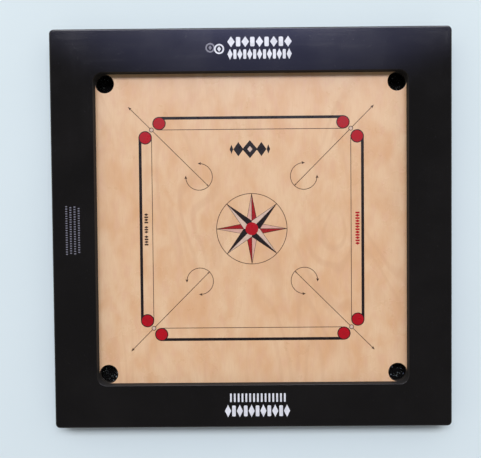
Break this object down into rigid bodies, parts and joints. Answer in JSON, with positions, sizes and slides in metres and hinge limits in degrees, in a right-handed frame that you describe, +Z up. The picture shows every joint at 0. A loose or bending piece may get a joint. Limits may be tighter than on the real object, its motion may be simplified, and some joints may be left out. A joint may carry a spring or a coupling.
{
  "type": "carrom board",
  "caption": "Square tabletop game board: a mitred black hardwood frame round a recessed, printed plywood playing panel, with a round netted pocket in each corner.",
  "frame": {"origin": "middle of the board in plan, on the plane that the underside of the frame rests on", "axes": "+Z up out of the playing surface, +Y towards the back rail, +X towards the right rail"},
  "size_m": [0.9432, 0.9432, 0.0508],
  "materials": {
    "frame_lacquer": "hardwood under gloss black lacquer",
    "panel_plywood": "birch plywood, satin clear lacquer, printed marks",
    "brace_wood": "planed softwood, unfinished",
    "spline_plywood": "plywood, glued",
    "net_cord": "knotted black nylon cord",
    "rim_cord": "twisted black nylon cord",
    "zinc_screws": "bright zinc plated",
    "fastener_steel": "galvanised",
    "red_ink": "screen-printed under lacquer",
    "black_ink": "screen-printed under lacquer",
    "white_ink": "screen-printed on the frame"
  },
  "bodies": {
    "root": {"brace_back": "brace_wood", "brace_end_screws": "zinc_screws", "brace_front": "brace_wood", "brace_left": "brace_wood", "brace_right": "brace_wood", "brace_screws": "zinc_screws", "corner_spline_back_left": "spline_plywood", "corner_spline_back_right": "spline_plywood", "corner_spline_front_left": "spline_plywood", "corner_spline_front_right": "spline_plywood", "corrugated_fasteners": "fastener_steel", "frame_rail_back": "frame_lacquer", "frame_rail_front": "frame_lacquer", "frame_rail_left": "frame_lacquer", "frame_rail_right": "frame_lacquer", "net_rim_cord_back_left": "rim_cord", "net_rim_cord_back_right": "rim_cord", "net_rim_cord_front_left": "rim_cord", "net_rim_cord_front_right": "rim_cord", "net_staples": "fastener_steel", "panel_screws": "zinc_screws", "playing_panel": "panel_plywood", "pocket_net_back_left": "net_cord", "pocket_net_back_right": "net_cord", "pocket_net_front_left": "net_cord", "pocket_net_front_right": "net_cord"}
  },
  "joints": []
}
